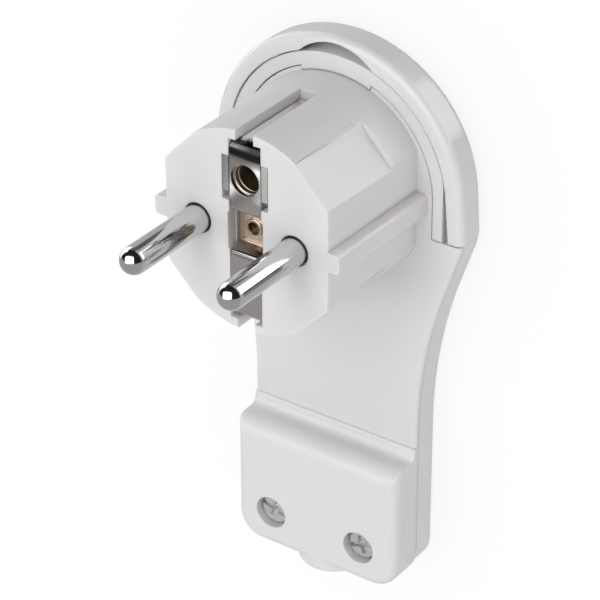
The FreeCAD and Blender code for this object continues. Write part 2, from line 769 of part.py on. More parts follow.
def make_earth_eyelet():
    """Rivet with a cupped head that joins strap, carrier web and earth terminal."""
    front = pocket_floor + strap_thickness
    rear = web_rear - strap_thickness
    thick = eyelet_head_thickness
    body = rod(eyelet_radius, 0, 0, rear - thick, front + thick)
    head = rod(eyelet_head_radius, 0, 0, front, front + thick)
    head = head.makeFillet(thick * 0.6, edges_at_height(head, front + thick, lambda point: True))
    tail = rod(eyelet_head_radius, 0, 0, rear - thick, rear)
    eyelet = fused([body, head, tail])
    bottom = front + thick - eyelet_bore_depth
    return eyelet.cut(rod(eyelet_radius - eyelet_wall, 0, 0, bottom, front + 3))


def make_earth_terminal():
    """Brass pillar on a riveted foot, with a cross hole for the earth wire."""
    top = web_rear
    wide = terminal_block_half_width
    foot = block(-wide, wide, terminal_block_high - 1, eyelet_head_radius + 0.6, top - strap_thickness, top)
    pillar = block(-wide, wide, terminal_block_low, terminal_block_high, terminal_block_rear, top)
    terminal = fused([foot, pillar])
    middle = (terminal_block_low + terminal_block_high) / 2
    terminal = terminal.cut(rod(eyelet_radius + thread_gap, 0, 0, top - 5, top + 5))
    wire_y0 = terminal_block_low - 1
    terminal = terminal.cut(rod_along_y(wire_hole_radius, wire_y0, terminal_block_high + 1, 0, wire_hole_height))
    depth = terminal_screw_length
    return terminal.cut(rod(small_screw_radius + thread_gap, 0, middle, terminal_block_rear - 1,
                            terminal_block_rear + depth))


def make_contact_carrier():
    """Insert that holds pins, earth sleeve and strap, with two wings that fill the face notches."""
    gap = carrier_gap
    radius = drum_inner_radius - gap
    half = drum_inner_half_width - gap
    carrier = drum_section(radius, half, carrier_rear, carrier_front)
    back = strap_front_height - strap_thickness - running_gap
    pad_half = strap_half_width - running_gap
    pad = block(-pad_half, pad_half, -strap_flat_end, strap_flat_end, carrier_front - 1, back)
    wing_inner = strap_half_width + wing_gap
    wing_outer = notch_half_width - strap_side_gap
    wing_low = notch_low + wing_low_gap
    wing_high = notch_high - strap_side_gap
    wings = block(-wing_outer, wing_outer, wing_low, wing_high, carrier_front - 1, strap_front_height)
    wings = wings.cut(block(-wing_inner, wing_inner, -past_all, past_all, carrier_front, past_all))
    carrier = fused([carrier, pad, wings])
    relief = block(-wing_outer, wing_outer, notch_low, wing_low, carrier_front - wing_relief_depth, past_all)
    relief = relief.cut(block(-wing_inner, wing_inner, -past_all, past_all, 0, past_all))
    carrier = carrier.cut(relief)
    for side in (1, -1):
        x = side * pin_half_pitch
        carrier = carrier.cut(rod(pillar_radius + running_gap, x, 0, pillar_rear - running_gap, past_all))
        carrier = carrier.cut(rod(terminal_head_radius + hole_gap, x, 0, 0, past_all))
        carrier = carrier.cut(rod_along_y(wire_hole_radius + 0.3, -past_all, 0, x, wire_hole_height))
    room_wide = strap_half_width + hole_gap
    pocket_y0 = pocket_bottom - pocket_slope - strap_thickness
    pocket_y1 = pocket_top + strap_thickness + running_gap
    pocket_rear = pocket_floor - running_gap
    carrier = carrier.cut(block(-room_wide, room_wide, pocket_y0, pocket_y1, pocket_rear, past_all))
    leg_floor = strap_leg_y - strap_thickness - running_gap
    leg_wide = strap_leg_half_width + hole_gap
    legs_room = block(-leg_wide, leg_wide, -past_all, past_all, 0, past_all)
    legs_room = legs_room.cut(block(-past_all, past_all, -leg_floor, leg_floor, 0, past_all))
    bend_room = strap_front_height - strap_bend_radius - strap_thickness
    bend_floor = leg_floor - 0.4
    corners = block(-room_wide, room_wide, -past_all, past_all, bend_room, past_all)
    corners = corners.cut(block(-past_all, past_all, -bend_floor, bend_floor, 0, past_all))
    carrier = carrier.cut(legs_room).cut(corners)
    sleeve_room = sleeve_radius + sleeve_thickness + running_gap
    carrier = carrier.cut(rod(sleeve_room, 0, earth_hole_y, 0, past_all))
    room_half = terminal_block_half_width + 0.2
    room = block(-room_half, room_half, terminal_block_low - 0.3, eyelet_head_radius + 0.9, 0, web_rear)
    carrier = carrier.cut(room).cut(rod(eyelet_radius + thread_gap, 0, 0, 0, past_all))
    for sign in (1, -1):
        x = sign * carrier_screw_place[0]
        y = sign * carrier_screw_place[1]
        seat = front_wall_height - carrier_boss_length - carrier_web
        boss_room = seat + carrier_web - running_gap
        carrier = carrier.cut(rod(carrier_boss_radius + hole_gap, x, y, boss_room, past_all))
        carrier = carrier.cut(rod(small_screw_radius + hole_gap, x, y, 0, past_all))
        carrier = carrier.cut(rod(small_head_radius + hole_gap, x, y, 0, seat))
    return carrier


def make_clamp_bar():
    """Arched bar that presses the cable's jacket down between two posts."""
    bottom = clamp_height + thread_gap
    wide = clamp_half_length
    points = [vec(-wide, clamp_y - clamp_half_width, 0), vec(wide, clamp_y - clamp_half_width, 0)]
    points += [vec(wide, clamp_y + clamp_half_width, 0), vec(-wide, clamp_y + clamp_half_width, 0)]
    bar = prism(rounded_edges(points, [2.0, 2.0, 2.0, 2.0]), bottom, bottom + clamp_thickness)
    arch = rod_along_y(clamp_arch_radius + clamp_arch_wall, clamp_y - clamp_half_width, clamp_y + clamp_half_width,
                       0, clamp_arch_height)
    bar = fused([bar, arch.common(block(-past_all, past_all, -past_all, 0, bottom, past_all))])
    y0 = clamp_y - 2 * clamp_half_width
    y1 = clamp_y + 2 * clamp_half_width
    bar = bar.cut(rod_along_y(clamp_arch_radius, y0, y1, 0, clamp_arch_height))
    for side in (1, -1):
        bar = bar.cut(rod(small_screw_radius + hole_gap, side * clamp_screw_x, clamp_y, 0, past_all))
    return bar


def make_all():
    shapes = {}
    shapes["front_housing"] = make_front_housing()
    shapes["back_shell"] = make_back_shell()
    shapes["clamp_cover"] = make_clamp_cover()
    shapes["pull_ring"] = make_pull_ring()
    shapes["contact_carrier"] = make_contact_carrier()
    shapes["earth_strap"] = make_earth_strap()
    shapes["earth_socket"] = make_earth_socket()
    shapes["earth_eyelet"] = make_earth_eyelet()
    shapes["earth_terminal"] = make_earth_terminal()
    shapes["clamp_bar"] = make_clamp_bar()
    middle = (terminal_block_low + terminal_block_high) / 2
    shapes["earth_screw"] = screw_pointing_up(
        0, middle, terminal_block_rear - thread_gap, small_screw_radius, terminal_screw_length - 2,
        small_head_radius, small_head_height)
    clamp_seat = clamp_height + thread_gap + clamp_thickness
    boss_seat = front_wall_height - carrier_boss_length - carrier_web
    for name, side in (("right", 1), ("left", -1)):
        shapes["pin_" + name] = make_pin(side)
        shapes["terminal_screw_" + name] = screw_pointing_up(
            side * pin_half_pitch, 0, pillar_rear - thread_gap, terminal_screw_radius,
            terminal_screw_length - 3, terminal_head_radius, terminal_head_height)
        shapes["carrier_screw_" + name] = screw_pointing_up(
            side * carrier_screw_place[0], side * carrier_screw_place[1], boss_seat - thread_gap,
            small_screw_radius, carrier_screw_length, small_head_radius, small_head_height)
        shapes["clamp_screw_" + name] = screw_pointing_down(
            side * clamp_screw_x, clamp_y, clamp_seat + thread_gap, small_screw_radius,
            clamp_screw_length, small_head_radius, small_head_height)
        shapes["cover_screw_" + name] = screw_pointing_down(
            side * cover_screw_x, cover_screw_y, cover_seat + thread_gap, cover_screw_radius,
            cover_screw_length, cover_head_radius, cover_head_height, True, 20.0 * side)
    return shapes


for node, shape in make_all().items():
    if len(shape.Solids) == 1:
        shape = shape.Solids[0]
    print(node, "solids", len(shape.Solids), "valid", shape.isValid(), "volume", round(shape.Volume, 1))
    shape.exportStep("parts/" + node + ".step")
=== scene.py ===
# %% [markdown]
# # A flat angled mains plug with a pull ring
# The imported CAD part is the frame: every solid is already in its place, in metres, lying on
# its flat back with the contact pins pointing up. This file adds what CAD can't show: the
# finish of each moulding and metal, two thin lips of metal in the earth hole, and the floor,
# the light and the camera of the photograph. Each note says what comes next and why, and the
# code cells print what they made or measured.

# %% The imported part
import math

import bmesh
import bpy
from mathutils import Matrix, Vector


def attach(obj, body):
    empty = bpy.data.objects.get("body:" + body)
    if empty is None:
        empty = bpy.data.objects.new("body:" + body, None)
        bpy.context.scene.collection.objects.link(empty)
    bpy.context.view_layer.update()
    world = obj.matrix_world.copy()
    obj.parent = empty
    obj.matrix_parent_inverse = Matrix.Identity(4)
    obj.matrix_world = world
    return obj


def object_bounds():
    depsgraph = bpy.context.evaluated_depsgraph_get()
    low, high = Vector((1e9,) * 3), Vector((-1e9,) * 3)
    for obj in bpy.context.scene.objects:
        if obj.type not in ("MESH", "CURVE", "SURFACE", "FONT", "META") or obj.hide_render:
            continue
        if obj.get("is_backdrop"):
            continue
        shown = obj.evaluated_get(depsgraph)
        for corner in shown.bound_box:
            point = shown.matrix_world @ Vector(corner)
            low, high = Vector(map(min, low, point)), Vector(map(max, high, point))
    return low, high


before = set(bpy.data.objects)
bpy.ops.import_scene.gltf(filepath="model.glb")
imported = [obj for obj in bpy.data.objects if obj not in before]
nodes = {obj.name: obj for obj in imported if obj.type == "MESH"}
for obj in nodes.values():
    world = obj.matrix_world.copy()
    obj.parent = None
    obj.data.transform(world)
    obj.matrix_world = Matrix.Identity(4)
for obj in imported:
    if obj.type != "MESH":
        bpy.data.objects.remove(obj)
cad_low, cad_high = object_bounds()
MM = 0.001
cad_size = [round((high - low) / MM, 1) for low, high in zip(cad_low, cad_high)]
print("CAD nodes:", len(nodes), "box in mm:", cad_size)

# %% [markdown]
# ## Camera
# The two pins have a standard size and spacing, so they are the ruler that tells where the
# photographer stood. A camera could be aimed by hand until the picture looks alike, but a
# place and three angles are easier to check. The camera starts by looking straight down the
# pins. It turns about the plug's long axis, to the right of the pins, then rises towards the
# ring, and tilts by a hair. A long lens keeps the perspective as weak as in the photograph.

# %% Camera
CAMERA_PLACE = Vector((225.52, 215.41, 338.03)) * MM
CAMERA_TURN = math.radians(35.0756)
CAMERA_RISE = math.radians(30.9218)
CAMERA_TILT = math.radians(-0.1098)
FOCAL_LENGTH = 164.31  # mm, the unit that a camera's own settings use
SENSOR_WIDTH = 36.0  # mm
NEAREST_SEEN = 10.0 * MM

camera_data = bpy.data.cameras.new("plug_camera")
camera_data.lens = FOCAL_LENGTH
camera_data.sensor_fit = "HORIZONTAL"
camera_data.sensor_width = SENSOR_WIDTH
camera_data.clip_start = NEAREST_SEEN
camera = bpy.data.objects.new("plug_camera", camera_data)
bpy.context.scene.collection.objects.link(camera)
turned = Matrix.Rotation(CAMERA_TURN, 4, "Y")
risen = turned @ Matrix.Rotation(-CAMERA_RISE, 4, "X")
tilted = risen @ Matrix.Rotation(CAMERA_TILT, 4, "Z")
camera.matrix_world = Matrix.Translation(CAMERA_PLACE) @ tilted
bpy.context.scene.camera = camera
bpy.context.scene.view_settings.view_transform = "Standard"
print("camera", round(CAMERA_PLACE.length / MM), "mm from the plug's back face")


# %% [markdown]
# ## Sums over a surface
# A finish comes from small sums over the surface, such as a noise that is halved and added
# to a roughness. Each sum could be linked by hand, one Math node at a time, but then it is
# hard to read. `Value` wraps one socket instead, so that `noise * 0.2 + 0.9` is written as
# it is meant, and adds its Math nodes by itself.

# %% A socket that takes part in sums
class Value:
    """One output socket that can be used in Python arithmetic."""

    def __init__(self, tree, socket):
        self.tree = tree
        self.socket = socket

    def _math(self, operation, first, second):
        return self.tree.node("ShaderNodeMath", {"operation": operation}, {0: first, 1: second})

    def __add__(self, other):
        return self._math("ADD", self, other)

    def __radd__(self, other):
        return self._math("ADD", other, self)

    def __sub__(self, other):
        return self._math("SUBTRACT", self, other)

    def __rsub__(self, other):
        return self._math("SUBTRACT", other, self)

    def __mul__(self, other):
        return self._math("MULTIPLY", self, other)

    def __rmul__(self, other):
        return self._math("MULTIPLY", other, self)

    def __truediv__(self, other):
        return self._math("DIVIDE", self, other)

    def __rtruediv__(self, other):
        return self._math("DIVIDE", other, self)

    def or_larger(self, other):
        """This value, or the other one where that is larger."""
        return self._math("MAXIMUM", self, other)

    def clamped(self):
        """This value, held between 0 and 1."""
        return self._math("MINIMUM", self.or_larger(0.0), 1.0)


# %% [markdown]
# ## Any other node
# Noises, colours and surfaces need other nodes than Math. They all come from one method:
# a node's settings first, because some settings decide which sockets count, then the values
# or links of its sockets. A world has nodes too, so the studio's sky is written with the
# same class as the finishes.

# %% The nodes of a finish or of the sky
def colour(red, green, blue):
    """A colour as a socket takes it."""
    return (red, green, blue, 1.0)


class NodeTree:
    """The nodes of one material or world."""

    def __init__(self, owner, output_kind):
        owner.use_nodes = True
        self.tree = owner.node_tree
        self.tree.nodes.clear()
        self.output = self.tree.nodes.new(output_kind)

    def put(self, socket, value):
        """Links a value to a socket, or sets the socket where it is a plain number."""
        if isinstance(value, Value):
            self.tree.links.new(value.socket, socket)
        else:
            socket.default_value = value

    def node(self, kind, settings=None, inputs=None, output=0):
        """Any node: settings first, then the values or links of its sockets."""
        made = self.tree.nodes.new(kind)
        for name, value in (settings or {}).items():
            setattr(made, name, value)
        for name, value in (inputs or {}).items():
            self.put(made.inputs[name], value)
        return Value(self, made.outputs[output])

    def ray(self, question):
        """What is known of the ray that meets this point, such as "Is Camera Ray"."""
        return self.node("ShaderNodeLightPath", output=question)

    def show(self, surface):
        """Makes this the surface that is seen."""
        self.put(self.output.inputs["Surface"], surface)


# %% [markdown]
# ## What all the finishes share
# Every moulded or plated skin here is a Principled surface whose colour, gloss and relief
# change a little from place to place. The pattern could be a painted image, but noise in the
# part's own coordinates needs no unwrapping, is sharp at any size, and stays on the ring
# when the ring swings. A Bevel node rounds the light on crisp CAD corners, which real
# tools never leave sharp, and the mesh stays as it is.

# %% One finish
class Finish(NodeTree):
    """One material with a Principled surface, and short names for what varies over it."""

    def __init__(self, name):
        self.material = bpy.data.materials.new(name)
        super().__init__(self.material, "ShaderNodeOutputMaterial")
        self.principled = self.node("ShaderNodeBsdfPrincipled")
        self.show(self.principled)

    def set(self, **values):
        """Fills the Principled sockets: Base_Color stands for Base Color."""
        for name, value in values.items():
            self.put(self.principled.socket.node.inputs[name.replace("_", " ")], value)

    def place(self):
        """The point's own coordinates, in metres, which stay with the part in every pose."""
        return self.node("ShaderNodeTexCoord", output="Object")

    def along(self, axis):
        """The point's own "X", "Y" or "Z", in metres."""
        return self.node("ShaderNodeSeparateXYZ", None, {0: self.place()}, axis)

    def stretched(self, scale):
        """The point's coordinates, scaled differently along each axis."""
        inputs = {0: self.place(), 1: scale}
        return self.node("ShaderNodeVectorMath", {"operation": "MULTIPLY"}, inputs)

    def noise(self, scale, detail, roughness=0.5, vector=None):
        """Cloudy values between 0 and 1. A scale of 1000 gives spots about 1 mm across."""
        inputs = {"Scale": scale, "Detail": detail, "Roughness": roughness}
        inputs["Vector"] = vector or self.place()
        return self.node("ShaderNodeTexNoise", {"noise_dimensions": "3D"}, inputs, "Fac")

    def inside(self, limits):
        """1 inside a box and 0 outside: each axis has its low side, high side and fade, in mm."""
        mask = 1.0
        for axis, (low, high, fade) in limits.items():
            along = self.along(axis)
            rise = ((along - low * MM) / (fade * MM)).clamped()
            fall = ((high * MM - along) / (fade * MM)).clamped()
            mask = mask * rise * fall
        return mask

    def mix(self, factor, first, second):
        """A colour between two colours."""
        settings = {"data_type": "RGBA", "clamp_factor": True}
        return self.node("ShaderNodeMix", settings, {0: factor, 6: first, 7: second}, 2)

    def bump(self, height, strength, distance, edge):
        """Surface relief. `edge`, in metres or None, also rounds the look of crisp corners."""
        inputs = {"Strength": strength, "Distance": distance, "Height": height}
        if edge:
            inputs["Normal"] = self.node("ShaderNodeBevel", {"samples": 6}, {"Radius": edge})
        self.set(Normal=self.node("ShaderNodeBump", None, inputs))

    def glow(self, tint, strength):
        """A surface that gives off light."""
        return self.node("ShaderNodeEmission", None, {"Color": tint, "Strength": strength})

    def either(self, factor, first, second):
        """The first surface where the factor is 0, and the second where it is 1."""
        return self.node("ShaderNodeMixShader", None, {0: factor, 1: first, 2: second})


def dress(finish, *names):
    """Gives these CAD nodes the finish, in every material slot they have."""
    for name in names:
        for slot in nodes[name].material_slots:
            slot.material = finish.material
        print(name, "wears", finish.material.name)


# %% [markdown]
# ## White moulding
# The housing, shell, cover and ring are injection moulded in one warm white plastic. A flat
# white looks like card, because a real skin is never quite even: its gloss drifts over a
# centimetre, and a ripple of about a millimetre breaks up the reflections. Both come from
# noise that is far weaker than one expects. A little light also goes into the plastic and
# comes out again nearby, which softens the shaded sides. The ring is the same plastic
# from a smoother mould, so it is the same recipe with a lower roughness.

# %% White moulding
MOULD_WHITE = (0.765, 0.757, 0.742)
DARKEST_SHARE = 0.97
RIPPLE_HEIGHT = 0.05 * MM
MOULD_EDGE = 0.22 * MM
LIGHT_DEPTH = 1.5 * MM


def white_moulding(name, roughness):
    skin = Finish(name)
    drift = skin.noise(scale=90.0, detail=4.0)
    ripple = skin.noise(scale=900.0, detail=3.0)
    darker = [DARKEST_SHARE * value for value in MOULD_WHITE]
    skin.set(Base_Color=skin.mix(drift, colour(*MOULD_WHITE), colour(*darker)))
    skin.set(Roughness=(roughness + (drift - 0.5) * 0.06 + (ripple - 0.5) * 0.03).clamped())
    skin.bump(drift * 0.8 + ripple * 0.2, strength=0.03, distance=RIPPLE_HEIGHT, edge=MOULD_EDGE)
    skin.set(IOR=1.46)
    skin.set(Subsurface_Weight=0.35, Subsurface_Scale=LIGHT_DEPTH)
    skin.set(Subsurface_Radius=(1.0, 0.95, 0.85))
    return skin


housing_skin = white_moulding("white_moulding", roughness=0.31)
ring_skin = white_moulding("white_ring_moulding", roughness=0.16)
dress(housing_skin, "front_housing", "back_shell", "clamp_cover")
dress(ring_skin, "pull_ring")

# %% [markdown]
# ## Inner moulding with two plated wings
# The contact carrier shows in the slots as a matt grey-white plastic, and beside the earth
# hole as two small wings, whose front faces shine like metal. Two materials would need the
# mesh's faces sorted, and the CAD mesh stays as it is. One material can do both, because it
# knows each point's height: above the wings' rear it turns from speckled plastic to
# plating. That plating is painted from dark on the left to bright on the right, as the two
# wings look in the photograph: painted shade on the left wing, a painted reflection on the
# right one.

# %% Inner moulding
WING_REAR = 31.3 * MM
WING_FADE = 0.1 * MM
WINGS_ACROSS = 9.0 * MM
SPECKLE_HEIGHT = 0.05 * MM
INNER_EDGE = 0.10 * MM


def inner_moulding():
    skin = Finish("grey_inner_moulding")
    speckle = skin.noise(scale=1400.0, detail=2.0)
    plastic = skin.mix(speckle, colour(0.60, 0.595, 0.58), colour(0.65, 0.645, 0.63))
    # painted shade and painted reflection: the wing plating is painted dark on the left and bright
    # on the right
    rightward = (skin.along("X") / WINGS_ACROSS + 0.5).clamped()
    wing_plating_with_painted_light = skin.mix(rightward, colour(0.38, 0.377, 0.37), colour(0.82, 0.815, 0.80))
    wing = ((skin.along("Z") - WING_REAR) / WING_FADE).clamped()
    skin.set(Base_Color=skin.mix(wing, plastic, wing_plating_with_painted_light))
    skin.set(Metallic=wing)
    skin.set(Roughness=0.45 + speckle * 0.1 - wing * 0.12)
    skin.bump(speckle, strength=0.15, distance=SPECKLE_HEIGHT, edge=INNER_EDGE)
    return skin


dress(inner_moulding(), "contact_carrier", "clamp_bar")


# %% [markdown]
# ## One recipe for every metal
# Plating and bare brass differ in colour, gloss and grain, but are built alike, so one
# function makes them all. Clouds of two close tints stand for handling and tarnish. The
# grain is a noise stretched along the way the metal was worked: it changes fast along
# an axis with a high number and slowly along one with a low number. The boxes passed in
# last are fixed in the part and hold painted shade and painted reflections, in which the
# metal is darker, browner or brighter.
#
# The pins, the strip and the brass are kept below a roughness of 0.27, and the sleeve and
# the screws above it. The denoiser treats the two kinds differently, and a metal that often
# crosses from one to the other shows white specks.

# %% Metal recipe
METAL_EDGE = 0.06 * MM
GRAIN_DEPTH = 0.02 * MM


def metal(name, light, dark, roughness, grain, grain_strength,
          blotch=60.0, edge=METAL_EDGE, relief=GRAIN_DEPTH, painted_patches=()):
    skin = Finish(name)
    lines = skin.noise(scale=1.0, detail=3.0, roughness=0.6, vector=skin.stretched(grain))
    cloud = skin.noise(scale=blotch, detail=4.0)
    tint = skin.mix(cloud, colour(*light), colour(*dark))
    # painted shade and painted reflections: each box lays its tint over the clouds
    for painted_tint, limits in painted_patches:
        tint = skin.mix(skin.inside(limits), tint, colour(*painted_tint))
    skin.set(Base_Color=tint)
    skin.set(Metallic=1.0)
    skin.set(Roughness=roughness * (0.6 + cloud * 0.4 + lines * 0.4))
    skin.bump(lines, strength=grain_strength, distance=relief, edge=edge)
    print(name, "with", len(painted_patches), "painted_patches")
    return skin


# %% [markdown]
# ## Contact pins
# The pins are turned from bar and nickel plated, the brightest metal on the plug. What the
# eye takes for their look is almost all reflection, so the plating itself is nearly even: a
# low roughness and very faint turned rings, which change fast along the pin. No rounded
# edges are faked here, because the domed tips are round in the CAD model already.

# %% Contact pins
pin_plate = metal(
    "pin_plating",
    light=(0.66, 0.66, 0.665),
    dark=(0.60, 0.60, 0.605),
    roughness=0.12,
    grain=(400, 400, 9000),
    grain_strength=0.02,
    edge=None,
)
dress(pin_plate, "pin_left", "pin_right")

# %% [markdown]
# ## Earth strap
# The strap is a rolled and bent strip, so its grain is long fine lines, which change fast
# across its width. In the photograph it has many tones: the sunk pocket is brown, the band
# round the earth hole runs from grey to white, and the legs at both ends are white, with a
# black band before the top one. These tones are mostly reflection and shade, which clouds
# alone would put anywhere, so they are painted on as patches of painted reflection and
# painted shade, each with a place of its own. They are laid on in this order, and a later
# one covers those before it.

# %% Earth strap
FAR = 90.0  # mm, beyond the plug on every side: no limit there
# the strap's painted reflections and painted shade, one box each
strap_painted_light = [
    # painted warm reflection on the slopes and the floor of the sunk pocket
    ((0.60, 0.48, 0.38), {"Y": (-7.0, 7.0, 0.3), "Z": (0.0, 31.45, 2.0)}),
    ((0.84, 0.67, 0.53), {"Y": (-2.9, 3.4, 0.3), "Z": (0.0, 29.8, 0.3)}),
    # painted shadow on the lower slope, on the right, and a grey line of painted shade above it
    ((0.10, 0.095, 0.09), {"X": (0.4, FAR, 2.0), "Y": (-4.0, -2.9, 0.2), "Z": (29.5, 31.9, 0.2)}),
    ((0.34, 0.32, 0.32), {"Y": (-4.7, -3.7, 0.15), "Z": (31.2, FAR, 0.1)}),
    # past the earth hole: painted shadow, then grey painted shade to the left of the hole and a
    # white painted reflection to its right
    ((0.24, 0.22, 0.22), {"Y": (11.6, 16.8, 1.8), "Z": (31.2, FAR, 0.2)}),
    ((0.42, 0.39, 0.385), {"X": (-FAR, -0.8, 1.5), "Y": (9.4, 13.5, 1.0), "Z": (31.2, FAR, 0.2)}),
    ((0.98, 0.97, 0.95), {"X": (1.0, FAR, 1.6), "Y": (5.6, 12.6, 0.9), "Z": (31.2, FAR, 0.2)}),
    # white painted reflection on the legs beyond the bends at the top and the bottom
    ((1.0, 0.98, 0.97), {"Y": (15.0, FAR, 0.5)}),
    ((1.0, 0.98, 0.97), {"Y": (-FAR, -15.6, 0.5)}),
    # black painted reflection on the crest of the top bend and on the band before it
    ((0.10, 0.098, 0.098), {"Y": (14.9, FAR, 0.3), "Z": (30.6, FAR, 0.3)}),
    ((0.03, 0.028, 0.028), {"Y": (13.4, 15.2, 0.4), "Z": (31.0, FAR, 0.1)}),
    ((0.03, 0.028, 0.028), {"X": (-1.8, FAR, 2.8), "Y": (13.2, 16.5, 0.4), "Z": (30.9, FAR, 0.1)}),
]
strip_plate = metal(
    "strip_plating",
    light=(0.62, 0.575, 0.58),
    dark=(0.55, 0.50, 0.50),
    roughness=0.20,
    grain=(3000, 300, 300),
    grain_strength=0.03,
    blotch=260.0,
    edge=0.12 * MM,
    painted_patches=strap_painted_light,
)
dress(strip_plate, "earth_strap")

# %% [markdown]
# ## Earth sleeve, eyelet and terminal
# The sleeve behind the earth hole has thin satin plating over brass, so its tint is brown
# and its gloss dull. The eyelet in the pocket and the terminal are bare brass, with rings
# from turning. Painted shade darkens the eyelet's bore, because a hole this small shows
# almost no light, and paint is surer there than shadow.

# %% Earth sleeve, eyelet and terminal
sleeve_plate = metal(
    "sleeve_plating",
    light=(0.62, 0.54, 0.45),
    dark=(0.48, 0.40, 0.32),
    roughness=0.38,
    grain=(500, 500, 6000),
    grain_strength=0.05,
    blotch=300.0,
)
# painted shade inside the eyelet's bore
eyelet_bore_painted_shade = {"X": (-1.2, 1.2, 0.05), "Y": (-1.2, 1.2, 0.05), "Z": (28.0, 29.55, 0.15)}
brass = metal(
    "turned_brass",
    light=(0.74, 0.66, 0.54),
    dark=(0.50, 0.40, 0.28),
    roughness=0.19,
    grain=(900, 900, 4000),
    grain_strength=0.10,
    blotch=500.0,
    painted_patches=[((0.20, 0.15, 0.10), eyelet_bore_painted_shade)],
)
dress(sleeve_plate, "earth_socket")
dress(brass, "earth_eyelet", "earth_terminal")

# %% [markdown]
# ## Screws
# Zinc plate is matt and mottled, since it grows as small crystals. The grain here has the
# same scale along every axis, so it gives spots and no lines, and it stands up more than the
# grain of the other metals, which breaks the light on the screw heads into bits.

# %% Screws
zinc = metal(
    "zinc_plating",
    light=(1.0, 1.0, 1.0),
    dark=(0.52, 0.53, 0.54),
    roughness=0.46,
    grain=(1300, 1300, 1300),
    grain_strength=0.6,
    blotch=900.0,
    relief=0.05 * MM,
)
dress(zinc, *[name for name in nodes if "screw" in name])


# %% [markdown]
# ## Rolled lips of the earth sleeve
# The sleeve's mouth is rolled over behind the earth hole, and a second thin line marks the
# end of its funnel. Each catches the light as a fine bright arc. A line painted on the
# sleeve would stay flat and never glint, so each lip is a real bead: a small circle swept
# round the hole's axis, in a bright metal at the mouth and a golden one below it.

# %% A bead round the hole
BEAD_STEPS = 96
WIRE_STEPS = 12
EARTH_HOLE_AT = Vector((0, 9.6, 0)) * MM


def bead(name, height, ring_radius, wire_radius, finish):
    """A thin round wire bent to a full ring round the earth hole's axis."""
    shape = bmesh.new()
    centre = EARTH_HOLE_AT + Vector((0, 0, height))
    rows = []
    for i in range(BEAD_STEPS):
        turn = 2 * math.pi * i / BEAD_STEPS
        row = []
        for j in range(WIRE_STEPS):
            roll = 2 * math.pi * j / WIRE_STEPS
            out = ring_radius + wire_radius * math.cos(roll)
            up = wire_radius * math.sin(roll)
            offset = Vector((out * math.cos(turn), out * math.sin(turn), up))
            row.append(shape.verts.new(centre + offset))
        rows.append(row)
    for i in range(BEAD_STEPS):
        one, two = rows[i], rows[(i + 1) % BEAD_STEPS]
        for j in range(WIRE_STEPS):
            k = (j + 1) % WIRE_STEPS
            shape.faces.new((one[j], two[j], two[k], one[k])).smooth = True
    mesh = bpy.data.meshes.new(name)
    shape.to_mesh(mesh)
    shape.free()
    made = bpy.data.objects.new(name, mesh)
    bpy.context.scene.collection.objects.link(made)
    mesh.materials.append(finish.material)
    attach(made, "plug_body")
    print(name, "ring of", round(2 * ring_radius / MM, 2), "mm across")


# %% The two lips
bright_lip = metal(
    "bright_lip",
    light=(0.90, 0.88, 0.85),
    dark=(0.80, 0.76, 0.70),
    roughness=0.22,
    grain=(900, 900, 900),
    grain_strength=0.02,
    edge=None,
)
gold_lip = metal(
    "gold_lip",
    light=(0.86, 0.74, 0.52),
    dark=(0.72, 0.58, 0.38),
    roughness=0.24,
    grain=(900, 900, 900),
    grain_strength=0.02,
    edge=None,
)
bead("sleeve_mouth_lip", 31.0 * MM, 2.62 * MM, 0.11 * MM, bright_lip)
bead("sleeve_funnel_lip", 30.1 * MM, 2.53 * MM, 0.10 * MM, gold_lip)

# %% [markdown]
# ## Floor
# The plug lies on its flat back on a pale floor. A plain white plane would do for the bounce
# light on the downward sides, but it would also cut off the ring, which hangs below the
# floor once it is swung out. So the floor answers each kind of ray in its own way. To the
# camera it is clear, with a soft grey only where the plug is near, as a contact shadow. To
# shadow rays it is clear too, and to all others it is a matt grey from above and a soft
# light from below, which lights the swung-out ring.

# %% Floor
FLOOR_SIZE = 3.0
FLOOR_DROP = 0.2 * MM
SHADOW_REACH = 35.0 * MM
SHADOW_STARTS = 0.94
SHADOW_DEPTH = 0.30
UNDERSIDE_LIGHT = 0.8
WHITE = colour(1.0, 1.0, 1.0)


def pale_floor():
    ground = Finish("pale_floor")
    ground.set(Base_Color=colour(0.78, 0.78, 0.78), Roughness=0.9)
    from_below = ground.node("ShaderNodeNewGeometry", output="Backfacing")
    both_sides = ground.either(from_below, ground.principled, ground.glow(WHITE, UNDERSIDE_LIGHT))

    clear = ground.node("ShaderNodeBsdfTransparent", None, {"Color": WHITE})
    grey = ground.glow(colour(0.55, 0.55, 0.56), 1.0)
    reach = {"Distance": SHADOW_REACH}
    open_above = ground.node("ShaderNodeAmbientOcclusion", {"samples": 8}, reach, "AO")
    shadow = ((SHADOW_STARTS - open_above) * SHADOW_DEPTH).clamped()
    seen = ground.either(shadow, clear, grey)

    lit = ground.either(ground.ray("Is Shadow Ray"), both_sides, clear)
    ground.show(ground.either(ground.ray("Is Camera Ray"), lit, seen))
    return ground


bpy.ops.mesh.primitive_plane_add(size=FLOOR_SIZE, location=(0, 0, -FLOOR_DROP))
floor = bpy.context.object
floor.name = "floor"
floor.data.materials.append(pale_floor().material)
floor.visible_glossy = False
floor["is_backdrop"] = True
print("floor", FLOOR_SIZE, "m wide,", FLOOR_DROP / MM, "mm below the plug's back")

# %% [markdown]
# ## Sky
# The photograph has plain white behind the plug, and soft light on it from all round. A
# white sky would give both, but at the strength that the background needs, it would also
# wash out every shadow. So the sky is white only to the camera and to rays that come by way
# of a mirror or glass, and a weak grey to the rays that light the matt surfaces.

# %% Sky
SKY_LEVEL = 0.15

